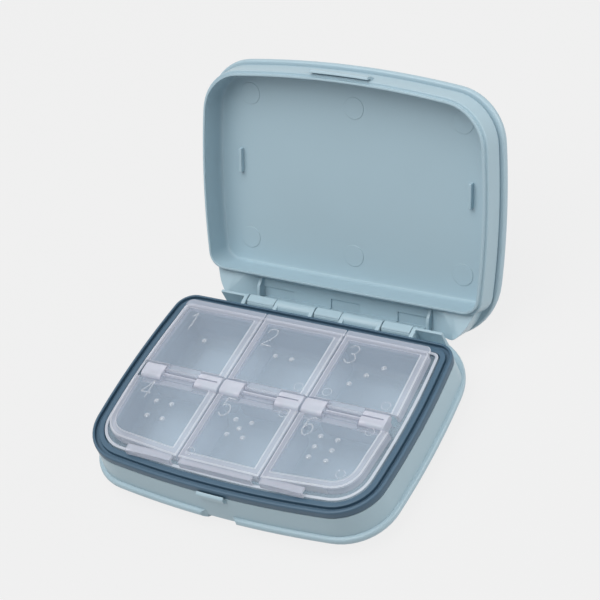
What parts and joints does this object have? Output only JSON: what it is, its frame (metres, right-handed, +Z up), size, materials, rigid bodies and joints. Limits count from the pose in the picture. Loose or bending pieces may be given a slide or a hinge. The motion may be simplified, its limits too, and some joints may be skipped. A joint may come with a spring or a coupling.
{
  "type": "travel pill box",
  "caption": "Shallow rounded travel box that holds a clear tray of lidded cells under a hinged, sealed upper shell.",
  "frame": {"origin": "on the flat underside, below the middle of the seal", "axes": "+X to the user's right, +Y to the hinge at the back, +Z up"},
  "size_m": [0.1066, 0.1291, 0.0755],
  "materials": {
    "blue_shell": "satin moulded polypropylene, pale blue",
    "navy_seal": "matt silicone, mid navy",
    "clear_tray": "clear moulded plastic",
    "frosted_lid": "clear plastic with a light frost",
    "steel_pin": "drawn steel wire"
  },
  "bodies": {
    "base": {"base_shell": "blue_shell", "seal_gasket": "navy_seal", "pill_tray": "clear_tray", "hinge_pin": "steel_pin"},
    "upper_shell": {"lid_shell": "blue_shell"},
    "small_lid_1": {"compartment_lid_1": "frosted_lid"},
    "small_lid_2": {"compartment_lid_2": "frosted_lid"},
    "small_lid_3": {"compartment_lid_3": "frosted_lid"},
    "small_lid_4": {"compartment_lid_4": "frosted_lid"},
    "small_lid_5": {"compartment_lid_5": "frosted_lid"},
    "small_lid_6": {"compartment_lid_6": "frosted_lid"}
  },
  "joints": [
    {"name": "lid_hinge", "type": "hinge", "parent": "base", "child": "upper_shell", "pos_m": [0, 0.0406, 0.012], "axis": [-1, 0, 0], "range_deg": [-120, 0]},
    {"name": "compartment_hinge_1", "type": "hinge", "parent": "base", "child": "small_lid_1", "pos_m": [-0.029, 0.0018, 0.0204], "axis": [1, 0, 0], "range_deg": [0, 90]},
    {"name": "compartment_hinge_2", "type": "hinge", "parent": "base", "child": "small_lid_2", "pos_m": [0, 0.0018, 0.0204], "axis": [1, 0, 0], "range_deg": [0, 90]},
    {"name": "compartment_hinge_3", "type": "hinge", "parent": "base", "child": "small_lid_3", "pos_m": [0.029, 0.0018, 0.0204], "axis": [1, 0, 0], "range_deg": [0, 90]},
    {"name": "compartment_hinge_4", "type": "hinge", "parent": "base", "child": "small_lid_4", "pos_m": [-0.029, -0.0014, 0.0204], "axis": [-1, 0, 0], "range_deg": [0, 90]},
    {"name": "compartment_hinge_5", "type": "hinge", "parent": "base", "child": "small_lid_5", "pos_m": [0, -0.0014, 0.0204], "axis": [-1, 0, 0], "range_deg": [0, 90]},
    {"name": "compartment_hinge_6", "type": "hinge", "parent": "base", "child": "small_lid_6", "pos_m": [0.029, -0.0014, 0.0204], "axis": [-1, 0, 0], "range_deg": [0, 90]}
  ]
}
